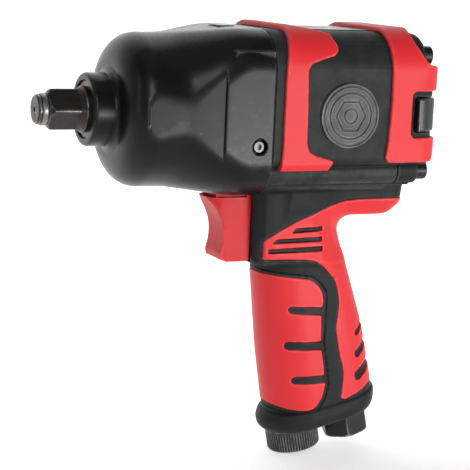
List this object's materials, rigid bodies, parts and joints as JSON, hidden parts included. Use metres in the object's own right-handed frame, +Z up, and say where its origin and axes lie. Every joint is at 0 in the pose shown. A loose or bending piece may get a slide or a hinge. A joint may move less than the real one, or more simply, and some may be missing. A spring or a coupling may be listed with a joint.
{
  "type": "impact wrench",
  "caption": "Pistol-grip pneumatic impact wrench with a half-inch square drive, rubber overmoulded grip, trigger, reversing button and rotating exhaust deflector.",
  "frame": {"origin": "centre of the square drive's end face, on the drive axis", "axes": "+X forward along the drive axis, out of the nose; +Z up, away from the handle; +Y to the operator's left"},
  "size_m": [0.1715, 0.073, 0.1903],
  "materials": {
    "case_black": "semi-gloss black paint on cast aluminium",
    "housing_black": "fine-textured charcoal glass-filled nylon",
    "red_overmould": "satin red soft overmould",
    "trigger_red": "satin red moulded plastic",
    "anvil_steel": "dark phosphated hardened steel",
    "bright_steel": "machined steel",
    "hammer_steel": "hardened tool steel",
    "bearing_steel": "polished bearing steel",
    "black_oxide": "black oxide on steel",
    "bushing_metal": "oil-impregnated bronze",
    "vane_composite": "fabric-reinforced phenolic",
    "seal_rubber": "black nitrile rubber",
    "gasket_fibre": "compressed fibre gasket",
    "badge_black": "satin black moulded disc",
    "plate_dark": "dark laminated label",
    "plate_grey": "plain grey foil label",
    "button_black": "smooth black nylon",
    "muffler_felt": "pressed felt silencer"
  },
  "bodies": {
    "housing": {"hammer_case": "case_black", "grease_plug": "bright_steel", "anvil_bushing": "bushing_metal", "case_gasket": "gasket_fibre", "front_end_plate": "bright_steel", "front_bearing_outer_race": "bearing_steel", "motor_cylinder": "bright_steel", "cylinder_dowel_pin": "bright_steel", "rear_end_plate": "bright_steel", "rear_bearing_outer_race": "bearing_steel", "motor_housing": "housing_black", "rear_gasket": "gasket_fibre", "rear_cover": "housing_black", "housing_bolts": "black_oxide", "bolt_washers": "black_oxide", "front_bumper": "red_overmould", "rear_bumper": "red_overmould", "upper_grip_panel": "red_overmould", "front_grip_panel": "red_overmould", "side_badges": "badge_black", "rating_plate": "plate_dark", "case_plate": "plate_grey", "trigger_bushing": "bushing_metal", "trigger_rod_seal": "seal_rubber", "throttle_valve_seat": "bushing_metal", "throttle_spring": "bright_steel", "throttle_spring_seat": "bright_steel", "inlet_screen": "bright_steel", "inlet_bushing": "black_oxide", "inlet_washer": "gasket_fibre", "exhaust_tube": "black_oxide", "exhaust_circlip": "bright_steel"},
    "anvil": {"anvil": "anvil_steel", "socket_retaining_ring": "bright_steel", "retaining_ring_o_ring": "seal_rubber"},
    "rotor": {"rotor": "bright_steel", "rotor_vanes": "vane_composite", "front_bearing_inner_race": "bearing_steel", "rear_bearing_inner_race": "bearing_steel", "hammer_cage": "hammer_steel", "hammer_pins": "bright_steel"},
    "front_hammer": {"front_hammer": "hammer_steel"},
    "rear_hammer": {"rear_hammer": "hammer_steel"},
    "front_ball_train": {"front_bearing_balls": "bearing_steel"},
    "rear_ball_train": {"rear_bearing_balls": "bearing_steel"},
    "trigger": {"trigger": "trigger_red", "trigger_rod": "bright_steel"},
    "throttle_valve": {"throttle_valve": "bright_steel"},
    "reverse_valve": {"reverse_valve_spool": "bright_steel", "reverse_buttons": "button_black", "spool_o_rings": "seal_rubber"},
    "exhaust_deflector": {"exhaust_deflector": "black_oxide", "muffler_element": "muffler_felt"}
  },
  "joints": [
    {"name": "rotor_spin", "type": "hinge", "parent": "housing", "child": "rotor", "pos_m": [-0.12, 0, 0], "axis": [1, 0, 0], "continuous": true},
    {"name": "anvil_spin", "type": "hinge", "parent": "housing", "child": "anvil", "pos_m": [-0.03, 0, 0], "axis": [1, 0, 0], "continuous": true},
    {"name": "front_balls_spin", "type": "hinge", "parent": "housing", "child": "front_ball_train", "pos_m": [-0.0901, 0, 0], "axis": [1, 0, 0], "continuous": true},
    {"name": "rear_balls_spin", "type": "hinge", "parent": "housing", "child": "rear_ball_train", "pos_m": [-0.1477, 0, 0], "axis": [1, 0, 0], "continuous": true},
    {"name": "front_hammer_pivot", "type": "hinge", "parent": "rotor", "child": "front_hammer", "pos_m": [-0.05575, 0, 0.0175], "axis": [1, 0, 0], "range_deg": [-4, 4]},
    {"name": "rear_hammer_pivot", "type": "hinge", "parent": "rotor", "child": "rear_hammer", "pos_m": [-0.06775, 0, -0.0175], "axis": [1, 0, 0], "range_deg": [-4, 4]},
    {"name": "trigger_slide", "type": "slide", "parent": "housing", "child": "trigger", "axis": [-1, 0, 0], "range_m": [0, 0.005], "stiffness_N_per_m": 800, "springref_m": -0.004},
    {"name": "throttle_tilt", "type": "hinge", "parent": "housing", "child": "throttle_valve", "pos_m": [-0.12961, 0, -0.07238], "axis": [0, 1, 0], "range_deg": [-15.1, 0], "deforming": ["throttle_spring"]},
    {"name": "reverse_slide", "type": "slide", "parent": "housing", "child": "reverse_valve", "axis": [0, 1, 0], "range_m": [0, 0.004]},
    {"name": "deflector_turn", "type": "hinge", "parent": "housing", "child": "exhaust_deflector", "pos_m": [-0.12372, 0, -0.14519], "axis": [0.2079, 0, 0.9781], "continuous": true}
  ],
  "couplings": [
    {"joint": "anvil_spin", "follows": "rotor_spin", "ratio": 1},
    {"joint": "front_balls_spin", "follows": "rotor_spin", "ratio": 0.4004},
    {"joint": "rear_balls_spin", "follows": "rotor_spin", "ratio": 0.396},
    {"joint": "throttle_tilt", "follows": "trigger_slide", "rad_per_m": -52.36}
  ]
}
